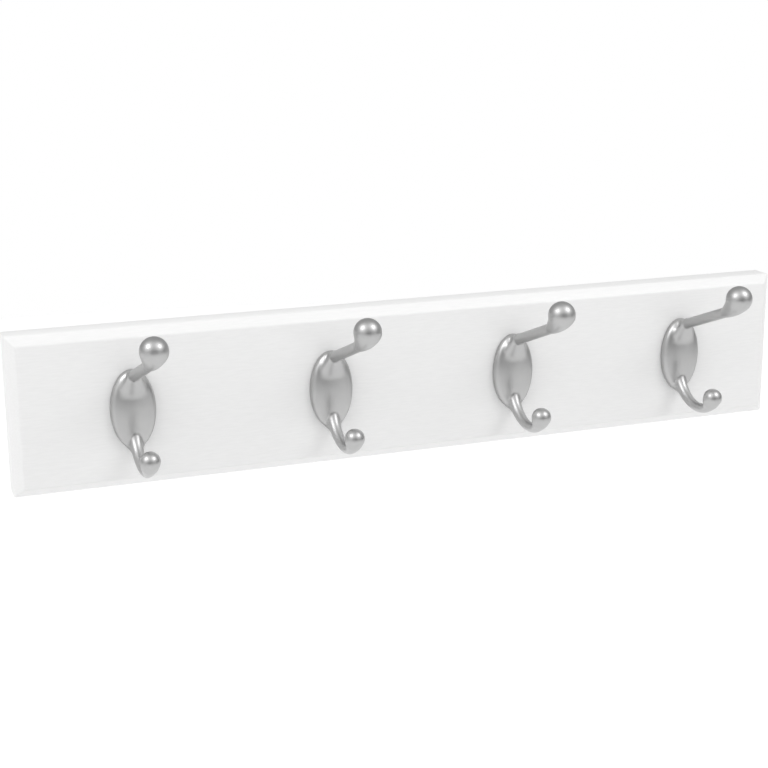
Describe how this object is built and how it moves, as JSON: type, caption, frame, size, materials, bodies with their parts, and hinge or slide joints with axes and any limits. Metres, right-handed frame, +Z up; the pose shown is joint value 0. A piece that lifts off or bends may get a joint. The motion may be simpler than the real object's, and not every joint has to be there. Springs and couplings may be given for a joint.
{
  "type": "wall hook rack",
  "caption": "White wall board with a chamfered front and a row of satin-nickel coat-and-hat hooks, hung on keyhole hangers.",
  "frame": {"origin": "centre of the board's back face, on the wall", "axes": "+X along the board, to the right as seen from the room; +Y into the wall; +Z up"},
  "size_m": [0.4572, 0.0865, 0.0949],
  "materials": {
    "white_paint": "satin white paint over a board",
    "satin_nickel": "satin nickel plate over a zinc casting",
    "hanger_steel": "zinc-plated pressed steel",
    "screw_steel": "zinc-plated steel"
  },
  "bodies": {
    "root": {"backboard": "white_paint", "hook_1": "satin_nickel", "hook_2": "satin_nickel", "hook_3": "satin_nickel", "hook_4": "satin_nickel", "hook_1_upper_screw": "screw_steel", "hook_1_lower_screw": "screw_steel", "hook_2_upper_screw": "screw_steel", "hook_2_lower_screw": "screw_steel", "hook_3_upper_screw": "screw_steel", "hook_3_lower_screw": "screw_steel", "hook_4_upper_screw": "screw_steel", "hook_4_lower_screw": "screw_steel", "keyhole_hanger_left": "hanger_steel", "keyhole_hanger_right": "hanger_steel", "hanger_left_upper_screw": "screw_steel", "hanger_left_lower_screw": "screw_steel", "hanger_right_upper_screw": "screw_steel", "hanger_right_lower_screw": "screw_steel"}
  },
  "joints": []
}
